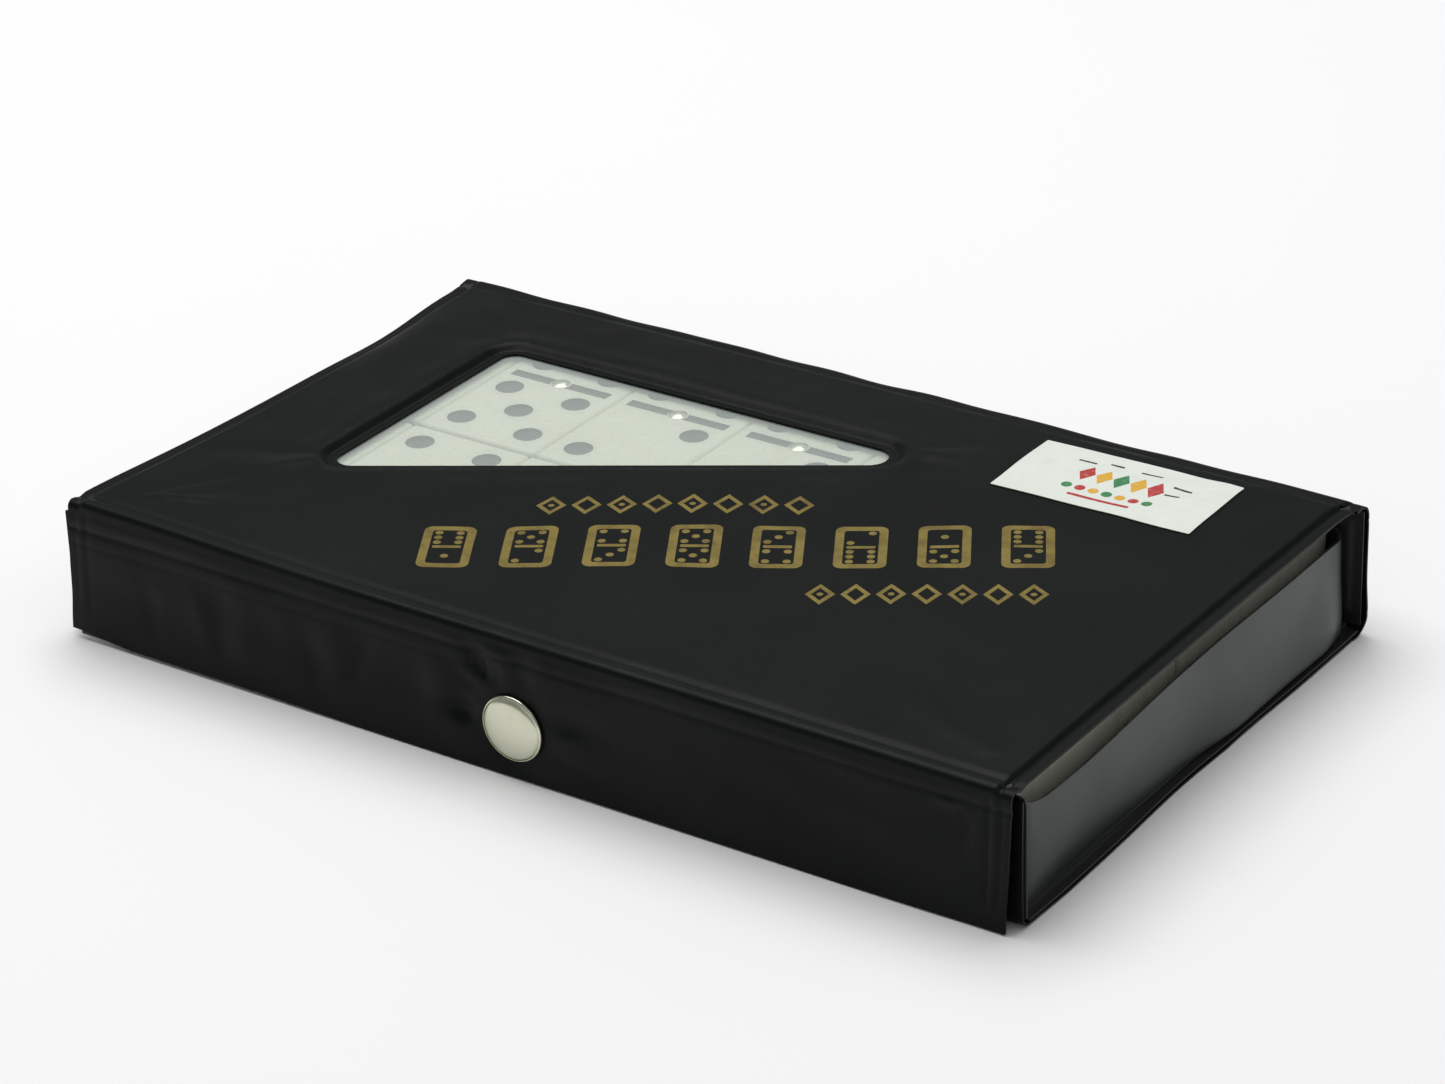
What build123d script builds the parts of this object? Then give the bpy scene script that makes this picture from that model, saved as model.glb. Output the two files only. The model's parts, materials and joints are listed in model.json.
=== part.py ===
from build123d import *
import os

# A double-six domino set in a soft vinyl wallet that closes with one press stud.
# Row frame: X along the wallet, left to right, with the press stud facing -Y.
# Y from the stud side to the spine. Z up from the table, with the wallet lying closed.
# Every size is in millimetres. The wallet is worked out from the tiles outwards.

# ---- one tile ----
tile_length = 50.0
tile_width = 25.0
tile_thickness = 10.0
tile_edge_round = 0.8
pip_diameter = 5.1
pip_depth = 0.4
pip_pitch_across = 7.15
pip_pitch_along = 7.0
bar_length = 20.7
bar_width = 2.25

# ---- brass pin in the middle of each tile ----
spinner_head_diameter = 3.4
spinner_head_height = 0.5
spinner_rim_height = 0.1
spinner_pin_diameter = 1.8
spinner_pin_length = 4.0
spinner_pin_clearance = 0.02
spinner_land = 0.2

# ---- how the set is packed ----
highest_number = 6
rows = 2
layers = 2
column_gap = 0.1
row_gap = 0.8
left_play = 0.15
right_play = 3.1
front_play = 3.6
back_play = 0.15

# ---- sheet materials ----
skin_thickness = 0.4
card_thickness = 0.9
lining_thickness = 0.3
film_thickness = 0.25
label_thickness = 0.1
weld_border = 2.5
corner_round = 1.5
sheet_clearance = 0.3

# ---- tray ----
tray_wall = 0.6
tray_floor_thickness = 0.5
tray_top_clearance = 0.4
tray_front_clearance = 0.6
tray_back_clearance = 0.15
end_wall_drop = 5.0
cover_overhang = 2.2
lid_clearance = 0.2

# ---- flap and press stud ----
flap_floor_clearance = 0.6
cap_diameter = 11.6
cap_height = 1.6
cap_rim_height = 0.3
cap_edge_margin = 2.8
rivet_diameter = 3.0
rivet_clearance = 0.05
socket_diameter = 9.6
socket_height = 1.3
socket_floor = 0.25
stud_flange_diameter = 9.0
stud_flange_height = 0.25
stud_ball_diameter = 3.6
stud_ball_height = 0.9
stud_side_clearance = 0.3
snap_face_clearance = 0.05
washer_diameter = 8.0
washer_height = 0.4

# ---- window in the lid ----
window_columns = 3.63
window_rows = 1.075
window_left_margin = 26.6
window_back_margin = 23.5
window_corner_round = 3.0
window_tip_round = 3.5
film_clearance = 0.3

# ---- paper label ----
label_length = 37.1
label_width = 19.5
label_right_margin = 18.9
label_back_margin = 7.4
label_turn = 1.1

# ---- sizes that follow ----
columns = highest_number + 1
column_pitch = tile_width + column_gap
row_pitch = tile_length + row_gap
layer_pitch = tile_thickness + spinner_head_height
block_length = columns * column_pitch - column_gap
block_depth = rows * row_pitch - row_gap
block_height = layers * layer_pitch

panel_thickness = skin_thickness + card_thickness + lining_thickness
flap_thickness = skin_thickness + lining_thickness
fold_setback = panel_thickness + sheet_clearance
flap_gap = socket_height + stud_flange_height + snap_face_clearance

tray_inner_length = left_play + block_length + right_play
tray_inner_depth = front_play + block_depth + back_play
tray_length = tray_inner_length + 2 * tray_wall
tray_depth = tray_inner_depth + 2 * tray_wall
case_length = tray_length + 2 * cover_overhang
front_stack = flap_thickness + flap_gap + panel_thickness + tray_front_clearance
case_depth = front_stack + tray_depth + tray_back_clearance + panel_thickness
case_height = panel_thickness + tray_floor_thickness + block_height + lid_clearance + panel_thickness

# ---- places that follow ----
right_x = case_length / 2
back_y = (case_depth + cap_height) / 2
front_y = back_y - case_depth
flap_inner_y = front_y + flap_thickness
wall_outer_y = flap_inner_y + flap_gap
wall_inner_y = wall_outer_y + panel_thickness
tray_front_y = wall_inner_y + tray_front_clearance
tray_back_y = tray_front_y + tray_depth
tray_mid_y = (tray_front_y + tray_back_y) / 2
spine_inner_y = back_y - panel_thickness

base_top_z = panel_thickness
tile_floor_z = base_top_z + tray_floor_thickness
lid_bottom_z = case_height - panel_thickness
tray_top_z = lid_bottom_z - tray_top_clearance
end_wall_top_z = tray_top_z - end_wall_drop
snap_z = flap_floor_clearance + cap_edge_margin + cap_diameter / 2
first_tile_x = -tray_inner_length / 2 + left_play + tile_width / 2
first_tile_y = tray_back_y - tray_wall - back_play - (rows - 0.5) * tile_length - (rows - 1) * row_gap

os.makedirs("parts", exist_ok=True)


def save(builder, name):
    """Label one finished sub-part and write it."""
    builder.part.label = name
    export_step(builder.part, f"parts/{name}.step")


def dome_radius(width, rise):
    """Radius of the sphere whose cap is this wide and this high."""
    return (width**2 / 4 + rise**2) / (2 * rise)


# ================= the domino tiles =================

def pip_spots(number):
    """Pip centres on one half of a tile, in pip pitches from the middle of the half."""
    spots = [(0, 0)] if number % 2 else []
    if number >= 2:
        spots += [(-1, -1), (1, 1)]
    if number >= 4:
        spots += [(-1, 1), (1, -1)]
    if number == 6:
        spots += [(-1, 0), (1, 0)]
    return spots


def half_pips(number, side):
    """Pip centres on the half towards +Y (side 1) or -Y (side -1), from the tile's centre."""
    middle = side * tile_length / 4
    return [(x * pip_pitch_across, middle + y * pip_pitch_along) for x, y in pip_spots(number)]


def domino(low, high, place):
    """One tile lying face up, its higher number towards the spine, with sunk pips and bar."""
    foot = Plane(origin=place)
    face = foot.offset(tile_thickness)
    with BuildPart() as tile:
        with BuildSketch(foot):
            Rectangle(tile_width, tile_length)
        extrude(amount=tile_thickness)
        fillet(tile.edges(), radius=tile_edge_round)
        with BuildSketch(face):
            for spot in half_pips(high, 1) + half_pips(low, -1):
                with Locations(spot):
                    Circle(pip_diameter / 2)
            Rectangle(bar_length, bar_width)
            Circle(spinner_head_diameter / 2 + spinner_land, mode=Mode.SUBTRACT)
        extrude(amount=-pip_depth, mode=Mode.SUBTRACT)
        with BuildSketch(face):
            Circle(spinner_pin_diameter / 2 + spinner_pin_clearance)
        extrude(amount=-spinner_pin_length - spinner_pin_clearance, mode=Mode.SUBTRACT)
    return tile


def spinner_row(layer, row):
    """The brass pins of one row of tiles: a shank in the tile and a low dome on its face."""
    with BuildPart() as pin:
        with BuildSketch(Plane.XZ):
            with BuildLine():
                Polyline(
                    (0, -spinner_pin_length),
                    (spinner_pin_diameter / 2, -spinner_pin_length),
                    (spinner_pin_diameter / 2, 0),
                    (spinner_head_diameter / 2, 0),
                    (spinner_head_diameter / 2, spinner_rim_height),
                )
                RadiusArc(
                    (spinner_head_diameter / 2, spinner_rim_height),
                    (0, spinner_head_height),
                    -dome_radius(spinner_head_diameter, spinner_head_height - spinner_rim_height),
                )
                Line((0, spinner_head_height), (0, -spinner_pin_length))
            make_face()
        revolve(axis=Axis.Z)
    with BuildPart() as pins:
        with Locations(*[tile_top(layer, row, column) for column in range(columns)]):
            add(pin.part)
    return pins


def tile_place(layer, row, column):
    """Centre of the underside of the tile in one place of the block."""
    x = first_tile_x + column * column_pitch
    y = first_tile_y + row * row_pitch
    z = tile_floor_z + layer * layer_pitch
    return (x, y, z)


def tile_top(layer, row, column):
    """Centre of the face of the tile in one place of the block."""
    x, y, z = tile_place(layer, row, column)
    return (x, y, z + tile_thickness)


# The four tiles that show through the window, by layer, row and column, all in the top layer.
window_tiles = {
    (1, 1, 1): (5, 6),
    (1, 1, 2): (2, 4),
    (1, 1, 3): (3, 5),
    (1, 0, 1): (1, 4),
}
# The rest of the set, dealt out in steps of eleven so that like numbers don't lie together.
deal_step = 11
double_six = [(low, high) for high in range(columns) for low in range(high + 1)]
loose = [pair for pair in double_six if pair not in window_tiles.values()]
dealt = [loose[(index * deal_step) % len(loose)] for index in range(len(loose))]
for layer in range(layers):
    for row in range(rows):
        for column in range(columns):
            low, high = window_tiles.get((layer, row, column)) or dealt.pop()
            save(domino(low, high, tile_place(layer, row, column)), f"domino_{low}_{high}")

for layer, layer_name in enumerate(("lower", "upper")):
    for row, row_name in enumerate(("front", "back")):
        save(spinner_row(layer, row), f"spinners_{layer_name}_{row_name}")


# ================= tray =================

with BuildPart() as tray_floor:
    with BuildSketch(Plane.XY.offset(base_top_z)):
        with Locations((0, tray_mid_y)):
            Rectangle(tray_length, tray_depth)
    extrude(amount=tray_floor_thickness)
save(tray_floor, "tray_floor")


def tray_end_wall(side):
    """Left (-1) or right (1) wall of the tray, lower than the long walls, with rounded top corners."""
    inner_x = side * tray_inner_length / 2
    with BuildPart() as wall:
        with BuildSketch(Plane.YZ.offset(inner_x)):
            with Locations((tray_mid_y, (tile_floor_z + end_wall_top_z) / 2)):
                Rectangle(tray_depth, end_wall_top_z - tile_floor_z)
        extrude(amount=side * tray_wall)
        fillet(wall.edges().filter_by(Axis.X).group_by(Axis.Z)[-1], radius=corner_round)
    return wall


def tray_long_wall(outer_y, inward):
    """Front (inward 1) or back (inward -1) wall of the tray, between the two end walls."""
    with BuildPart() as wall:
        with BuildSketch(Plane.XZ.offset(-outer_y)):
            with Locations((0, (tile_floor_z + tray_top_z) / 2)):
                Rectangle(tray_inner_length, tray_top_z - tile_floor_z)
        extrude(amount=-inward * tray_wall)
    return wall


save(tray_end_wall(-1), "tray_wall_left")
save(tray_end_wall(1), "tray_wall_right")
save(tray_long_wall(tray_front_y, 1), "tray_wall_front")
save(tray_long_wall(tray_back_y, -1), "tray_wall_back")


# ================= cover panels =================

def level_panel(z, thickness, near_y, far_y, inset=0.0, radius=0.0):
    """A flat sheet from near_y to far_y across the wallet, its ends inset by the weld border."""
    with BuildPart() as sheet:
        with BuildSketch(Plane.XY.offset(z)):
            with Locations((0, (near_y + far_y) / 2)):
                Rectangle(case_length - 2 * inset, far_y - near_y)
        extrude(amount=thickness)
        if radius:
            fillet(sheet.edges().filter_by(Axis.Z), radius=radius)
    return sheet


def upright_panel(outer_y, thickness, low_z, high_z, inset=0.0):
    """A sheet standing along X, from outer_y towards +Y, between two heights."""
    with BuildPart() as sheet:
        with BuildSketch(Plane.XZ.offset(-outer_y)):
            with Locations((0, (low_z + high_z) / 2)):
                Rectangle(case_length - 2 * inset, high_z - low_z)
        extrude(amount=-thickness)
    return sheet


def punched(sheet, outer_y, thickness, diameter):
    """The same upright sheet with a round hole for a rivet of the press stud."""
    with BuildPart() as result:
        add(sheet.part)
        with BuildSketch(Plane.XZ.offset(-outer_y)):
            with Locations((0, snap_z)):
                Circle(diameter / 2 + rivet_clearance)
        extrude(amount=-thickness, mode=Mode.SUBTRACT)
    return result


# Bottom panel: outer skin, card and lining.
card_low_z = skin_thickness
lining_low_z = skin_thickness + card_thickness
card_front_y = wall_outer_y + fold_setback
card_back_y = back_y - fold_setback
save(level_panel(0, skin_thickness, wall_outer_y, back_y, radius=corner_round), "bottom_skin")
save(level_panel(card_low_z, card_thickness, card_front_y, card_back_y, weld_border), "bottom_card")
save(level_panel(lining_low_z, lining_thickness, card_front_y, card_back_y), "bottom_lining")

# Front wall of the cover, which stands behind the flap and carries the stud.
wall_card_y = wall_outer_y + skin_thickness
wall_lining_y = wall_card_y + card_thickness
wall_low_z = fold_setback
front_wall_skin = punched(
    upright_panel(wall_outer_y, skin_thickness, skin_thickness, tray_top_z),
    wall_outer_y, skin_thickness, rivet_diameter,
)
save(front_wall_skin, "front_wall_skin")
front_wall_card = punched(
    upright_panel(wall_card_y, card_thickness, wall_low_z, tray_top_z - weld_border, weld_border),
    wall_card_y, card_thickness, rivet_diameter,
)
save(front_wall_card, "front_wall_card")
front_wall_lining = punched(
    upright_panel(wall_lining_y, lining_thickness, wall_low_z, tray_top_z),
    wall_lining_y, lining_thickness, rivet_diameter,
)
save(front_wall_lining, "front_wall_lining")

# Spine panel, which stands at the back between the two folds.
spine_low_z = fold_setback
spine_high_z = case_height - fold_setback
spine_skin_y = back_y - skin_thickness
spine_card_y = spine_skin_y - card_thickness
spine_skin_top_z = case_height - skin_thickness
save(upright_panel(spine_skin_y, skin_thickness, skin_thickness, spine_skin_top_z), "spine_skin")
save(upright_panel(spine_card_y, card_thickness, spine_low_z, spine_high_z, weld_border), "spine_card")
save(upright_panel(spine_inner_y, lining_thickness, spine_low_z, spine_high_z), "spine_lining")


# ================= lid =================

def window_outline(grow):
    """The window's right-angled triangle grown by a border, its sharp right tip rounded more."""
    corner_x = -right_x + window_left_margin
    corner_y = back_y - window_back_margin
    with BuildSketch() as outline:
        with BuildLine():
            Polyline(
                (corner_x, corner_y),
                (corner_x, corner_y - window_rows * tile_length),
                (corner_x + window_columns * tile_width, corner_y),
                close=True,
            )
        make_face()
        fillet(outline.vertices().sort_by(Axis.X)[:2], radius=window_corner_round)
        fillet(outline.vertices().sort_by(Axis.X)[-1], radius=window_tip_round)
        if grow:
            offset(amount=grow, kind=Kind.ARC)
    return outline


def lid_panel(z, thickness, near_y, far_y, window_grow, inset=0.0, radius=0.0):
    """A level sheet of the lid with the window cut out of it."""
    with BuildPart() as sheet:
        add(level_panel(z, thickness, near_y, far_y, inset, radius).part)
        with BuildSketch(Plane.XY.offset(z)):
            add(window_outline(window_grow).sketch)
        extrude(amount=thickness, mode=Mode.SUBTRACT)
    return sheet


lid_skin_z = case_height - skin_thickness
lid_card_z = lid_skin_z - card_thickness
lid_card_front_y = front_y + fold_setback
lid_card_back_y = back_y - fold_setback
card_window_grow = weld_border + film_clearance
lid_skin = lid_panel(lid_skin_z, skin_thickness, front_y, back_y, 0.0, radius=corner_round)
save(lid_skin, "lid_skin")
lid_card = lid_panel(
    lid_card_z, card_thickness, lid_card_front_y, lid_card_back_y, card_window_grow, weld_border
)
save(lid_card, "lid_card")
lid_lining = lid_panel(lid_bottom_z, lining_thickness, lid_card_front_y, lid_card_back_y, 0.0)
save(lid_lining, "lid_lining")

with BuildPart() as window_film:
    with BuildSketch(Plane.XY.offset(lid_skin_z - film_thickness)):
        add(window_outline(weld_border).sketch)
    extrude(amount=film_thickness)
save(window_film, "window_film")

with BuildPart() as paper_label:
    with BuildSketch(Plane.XY.offset(case_height)):
        with Locations((
            right_x - label_right_margin - label_length / 2,
            back_y - label_back_margin - label_width / 2,
        )):
            Rectangle(label_length, label_width, rotation=label_turn)
    extrude(amount=label_thickness)
save(paper_label, "paper_label")


# ================= flap and press stud =================

flap_skin = punched(
    upright_panel(front_y, skin_thickness, flap_floor_clearance, lid_skin_z),
    front_y, skin_thickness, rivet_diameter,
)
save(flap_skin, "flap_skin")
flap_lining_y = front_y + skin_thickness
flap_lining = punched(
    upright_panel(flap_lining_y, lining_thickness, flap_floor_clearance, case_height - fold_setback),
    flap_lining_y, lining_thickness, rivet_diameter,
)
save(flap_lining, "flap_lining")


def snap_plane(y):
    """Plane across the press stud's axis at one depth, facing the front."""
    return Plane(origin=(0, y, snap_z), x_dir=(1, 0, 0), z_dir=(0, -1, 0))


snap_axis = Axis((0, 0, snap_z), (0, 1, 0))

# Domed cap outside the flap, with the rivet that passes through to the socket.
with BuildPart() as snap_cap:
    with BuildSketch(Plane((0, front_y, snap_z), x_dir=(1, 0, 0), z_dir=(0, 0, 1))):
        with BuildLine():
            Polyline((0, 0), (cap_diameter / 2, 0), (cap_diameter / 2, -cap_rim_height))
            RadiusArc(
                (cap_diameter / 2, -cap_rim_height),
                (0, -cap_height),
                dome_radius(cap_diameter, cap_height - cap_rim_height),
            )
            Line((0, -cap_height), (0, 0))
        make_face()
    revolve(axis=snap_axis)
    with BuildSketch(snap_plane(front_y)):
        Circle(rivet_diameter / 2)
    extrude(amount=-flap_thickness)
save(snap_cap, "snap_cap")

# Socket inside the flap, open towards the stud.
with BuildPart() as snap_socket:
    with BuildSketch(snap_plane(flap_inner_y)):
        Circle(socket_diameter / 2)
    extrude(amount=-socket_height)
    with BuildSketch(snap_plane(flap_inner_y + socket_floor)):
        Circle(stud_ball_diameter / 2 + stud_side_clearance)
    extrude(amount=socket_floor - socket_height, mode=Mode.SUBTRACT)
    socket_rim = snap_socket.faces().sort_by(Axis.Y)[-1]
    chamfer(socket_rim.outer_wire().edges(), length=socket_floor)
save(snap_socket, "snap_socket")

# Stud on the front wall: a thin flange and the ball that the socket snaps over.
with BuildPart() as snap_stud:
    with BuildSketch(snap_plane(wall_outer_y)):
        Circle(stud_flange_diameter / 2)
    extrude(amount=stud_flange_height)
    with BuildSketch(snap_plane(wall_outer_y - stud_flange_height)):
        Circle(stud_ball_diameter / 2)
    extrude(amount=stud_ball_height)
    ball_end = snap_stud.faces().sort_by(Axis.Y)[0]
    fillet(ball_end.edges(), radius=stud_ball_height / 3)
save(snap_stud, "snap_stud")

# Washer inside the front wall, with the rivet that holds the stud on.
with BuildPart() as snap_washer:
    with BuildSketch(snap_plane(wall_inner_y)):
        Circle(washer_diameter / 2)
    extrude(amount=-washer_height)
    with BuildSketch(snap_plane(wall_inner_y)):
        Circle(rivet_diameter / 2)
    extrude(amount=panel_thickness)
save(snap_washer, "snap_washer")
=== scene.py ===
import json
import math

import bpy
import numpy as np
from mathutils import Matrix, Vector
from mathutils.geometry import delaunay_2d_cdt

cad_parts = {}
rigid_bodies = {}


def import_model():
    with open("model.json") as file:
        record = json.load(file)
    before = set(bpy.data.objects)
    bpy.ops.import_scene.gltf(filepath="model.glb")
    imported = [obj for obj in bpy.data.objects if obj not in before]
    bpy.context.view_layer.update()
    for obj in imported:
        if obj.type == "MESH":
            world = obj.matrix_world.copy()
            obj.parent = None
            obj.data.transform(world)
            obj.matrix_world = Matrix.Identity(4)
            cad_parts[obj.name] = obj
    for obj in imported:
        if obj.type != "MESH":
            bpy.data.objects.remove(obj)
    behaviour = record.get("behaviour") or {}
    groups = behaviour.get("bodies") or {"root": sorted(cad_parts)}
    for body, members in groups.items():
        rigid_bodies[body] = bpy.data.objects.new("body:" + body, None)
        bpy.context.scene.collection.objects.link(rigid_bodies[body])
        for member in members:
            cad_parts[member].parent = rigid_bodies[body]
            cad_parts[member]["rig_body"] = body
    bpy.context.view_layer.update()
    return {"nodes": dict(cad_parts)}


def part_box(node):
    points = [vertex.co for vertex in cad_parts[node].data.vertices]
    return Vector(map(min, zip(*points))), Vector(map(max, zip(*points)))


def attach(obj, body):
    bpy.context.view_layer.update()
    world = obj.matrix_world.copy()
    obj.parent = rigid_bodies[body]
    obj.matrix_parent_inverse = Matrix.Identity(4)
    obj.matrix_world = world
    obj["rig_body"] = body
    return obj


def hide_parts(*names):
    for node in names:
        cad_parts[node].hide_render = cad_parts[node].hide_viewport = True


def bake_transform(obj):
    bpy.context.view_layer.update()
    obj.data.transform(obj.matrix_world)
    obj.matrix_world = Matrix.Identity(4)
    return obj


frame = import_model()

# Shapes are worked out in millimetres, in the row frame, and written to the meshes in metres.
MM = 0.001


def node_box(name):
    """Lowest and highest corner of a CAD node, in millimetres."""
    low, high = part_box(name)
    return np.array(low) / MM, np.array(high) / MM


# ---- the frame's own sizes ----
lid_low, lid_high = node_box("lid_skin")
right = lid_high[0]
top = lid_high[2]
front = lid_low[1]
back = lid_high[1]
wall_low, wall_high = node_box("front_wall_skin")
wall_y = wall_low[1]
wall_top = wall_high[2]
lining_low, lining_high = node_box("lid_lining")
lid_under = lining_low[2]
tray_low, tray_high = node_box("tray_floor")
end_wall_low, end_wall_high = node_box("tray_wall_right")
long_wall_high = node_box("tray_wall_front")[1]
bottom_lining_low, bottom_lining_high = node_box("bottom_lining")
wall_lining_low, wall_lining_high = node_box("front_wall_lining")
spine_lining_low, spine_lining_high = node_box("spine_lining")
flap_low = node_box("flap_skin")[0]
cap_low, cap_high = node_box("snap_cap")
label_low, label_high = node_box("paper_label")
film_low, film_high = node_box("window_film")

# ---- sizes of the soft cover ----
skin = 0.4
lining = 0.3
card_shown = 0.34
film_thickness = 0.2
film_drop = 1.27
label_thickness = 0.11
label_gap = 0.13
tray_sheet = 0.55
tray_long_sheet = 0.5
weld_inset = 2.5
hinge_reach = 3.6
seam_y = back - hinge_reach
front_fold = 1.3
bottom_fold = 1.9
back_fold = 3.0
flap_bottom = flap_low[2]
most_out = 0.55  # furthest that the flap's relief stands out, so that it lies flat when open
snap_z = (cap_low[2] + cap_high[2]) / 2
cap_radius = (cap_high[0] - cap_low[0]) / 2

# ---- the window: a right-angled triangle with rounded corners ----
window_rounds = (3.0, 3.0, 3.5)
window_wide = 90.75
window_deep = 53.75
far_off = 1e9
window_back = film_high[1] - weld_inset
window_left = film_low[0] + weld_inset


# ================= small helpers =================

def smooth(x):
    """0 below 0, 1 above 1 and a soft step between."""
    x = np.clip(x, 0.0, 1.0)
    return x * x * (3 - 2 * x)


def bell(distance, width):
    return np.exp(-((distance / width) ** 2))


def ripple(x, y, wavelength, seed, waves=8):
    """Gentle seeded unevenness of about -1 to 1."""
    rng = np.random.default_rng(seed)
    total = np.zeros_like(np.asarray(x, float) + np.asarray(y, float))
    for _ in range(waves):
        angle, phase = rng.uniform(0, 2 * math.pi, 2)
        pitch = wavelength * rng.uniform(0.6, 1.6)
        total += np.sin(2 * math.pi * (x * math.cos(angle) + y * math.sin(angle)) / pitch + phase)
    return total / math.sqrt(2 * waves)


def crease(x, y, start, angle, length, width):
    """1 along a soft fold that leaves a point at an angle, widens and fades out."""
    c, s = math.cos(math.radians(angle)), math.sin(math.radians(angle))
    along = (x - start[0]) * c + (y - start[1]) * s
    across = (y - start[1]) * c - (x - start[0]) * s
    share = np.clip(along / length, 0, 1)
    fade = smooth(along / (0.12 * length)) * (1 - smooth((share - 0.35) / 0.65))
    return fade * bell(across, width * (0.45 + share))


def fan(x, y, centre, angles, lengths, width, height, seed, count):
    """Creases that spread from a strained point, ridges and valleys by turns."""
    rng = np.random.default_rng(seed)
    total = 0.0
    for k in range(count):
        angle = angles[0] + (angles[1] - angles[0]) * (k + rng.uniform(0.1, 0.9)) / count
        length = rng.uniform(*lengths)
        lift = height * rng.uniform(0.6, 1.2) * (1 if k % 2 else -0.8)
        total = total + lift * crease(x, y, centre, angle, length, width * rng.uniform(0.7, 1.3))
    return total


def steps(low, high, pitch, fine=0.4, reach=4.4):
    """Positions from low to high, finer near both ends."""
    edge = np.arange(0, reach, fine)
    count = max(2, round((high - low - 2 * reach) / pitch))
    middle = np.linspace(low + reach, high - reach, count + 1)
    return np.concatenate([low + edge, middle, (high - edge)[::-1]])


# ================= outlines =================

def circle(x, y, radius, count=14):
    angles = np.arange(count) * 2 * math.pi / count
    return np.stack([x + radius * np.cos(angles), y + radius * np.sin(angles)], 1)


def rounded_box(x, y, width, height, radius, count=4):
    points = []
    for quarter, (sx, sy) in enumerate(((1, 1), (-1, 1), (-1, -1), (1, -1))):
        cx, cy = x + sx * (width / 2 - radius), y + sy * (height / 2 - radius)
        for k in range(count + 1):
            angle = math.pi / 2 * (quarter + k / count)
            points.append((cx + radius * math.cos(angle), cy + radius * math.sin(angle)))
    return np.array(points)


def lozenge(x, y, width, height):
    return np.array([(x + width / 2, y), (x, y + height / 2), (x - width / 2, y), (x, y - height / 2)])


def divided(loop, pitch):
    """The same closed outline with points no further apart than the pitch."""
    result = []
    for here, there in zip(loop, np.roll(loop, -1, axis=0)):
        count = max(1, math.ceil(np.linalg.norm(there - here) / pitch))
        result += [here + (there - here) * k / count for k in range(count)]
    return np.array(result)


def inside(loop, x, y):
    """Whether each point lies inside a closed outline."""
    hit = np.zeros(len(x), bool)
    for (x0, y0), (x1, y1) in zip(loop, np.roll(loop, -1, axis=0)):
        if y0 == y1:
            continue
        crosses = (y0 > y) != (y1 > y)
        hit ^= crosses & (x < x0 + (y - y0) * (x1 - x0) / (y1 - y0))
    return hit


def inset_corners(corners, amounts):
    """Centres of the rounded corners of a triangle."""
    result = []
    for k, here in enumerate(corners):
        before = corners[k - 1] - here
        after = corners[(k + 1) % 3] - here
        before = before / np.linalg.norm(before)
        after = after / np.linalg.norm(after)
        middle = before + after
        middle = middle / np.linalg.norm(middle)
        result.append(here + middle * amounts[k] / math.sqrt((1 - before @ after) / 2))
    return np.array(result)


window_corners = np.array([
    (window_left, window_back),
    (window_left, window_back - window_deep),
    (window_left + window_wide, window_back),
])
window_centres = inset_corners(window_corners, window_rounds)


def window_outline(grow, pitch=1.1):
    """The window's edge, grown outwards by an amount."""
    points = []
    for k, centre in enumerate(window_centres):
        come = window_corners[k] - window_corners[k - 1]
        leave = window_corners[(k + 1) % 3] - window_corners[k]
        first = math.atan2(-come[0], come[1])
        last = math.atan2(-leave[0], leave[1])
        last += 2 * math.pi if last < first else 0
        count = math.ceil((last - first) / math.radians(9))
        for step in range(count + 1):
            angle = first + (last - first) * step / count
            points.append(centre + (window_rounds[k] + grow) * np.array([math.cos(angle), math.sin(angle)]))
    return divided(np.array(points), pitch)


def window_gap(x, y):
    """How far each point lies outside the window's edge, negative inside."""
    x, y = np.broadcast_arrays(np.asarray(x, float), np.asarray(y, float))
    outside = np.full(x.shape, far_off)
    deepest = np.full(x.shape, -far_off)
    within = np.ones(x.shape, bool)
    for k, (x0, y0) in enumerate(window_centres):
        x1, y1 = window_centres[(k + 1) % 3]
        dx, dy = x1 - x0, y1 - y0
        share = np.clip(((x - x0) * dx + (y - y0) * dy) / (dx * dx + dy * dy), 0, 1)
        away = np.hypot(x - x0 - share * dx, y - y0 - share * dy)
        reach = window_rounds[k] + share * (window_rounds[(k + 1) % 3] - window_rounds[k])
        outside = np.minimum(outside, away - reach)
        deepest = np.maximum(deepest, -away - reach)
        within &= (dx * (y - y0) - dy * (x - x0)) > 0
    return np.where(within, deepest, outside)


# ================= meshes =================

def new_object(name, points, faces, materials, face_materials=None, sharp=55):
    """A smooth-shaded mesh object from points in millimetres."""
    mesh = bpy.data.meshes.new(name)
    mesh.from_pydata((np.asarray(points) * MM).tolist(), [], [list(map(int, f)) for f in faces])
    for material in materials:
        mesh.materials.append(material)
    if face_materials is not None:
        mesh.polygons.foreach_set("material_index", np.asarray(face_materials, np.int32))
    mesh.shade_smooth()
    mesh.set_sharp_from_angle(angle=math.radians(sharp))
    mesh.update()
    result = bpy.data.objects.new(name, mesh)
    bpy.context.scene.collection.objects.link(result)
    return result


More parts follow.
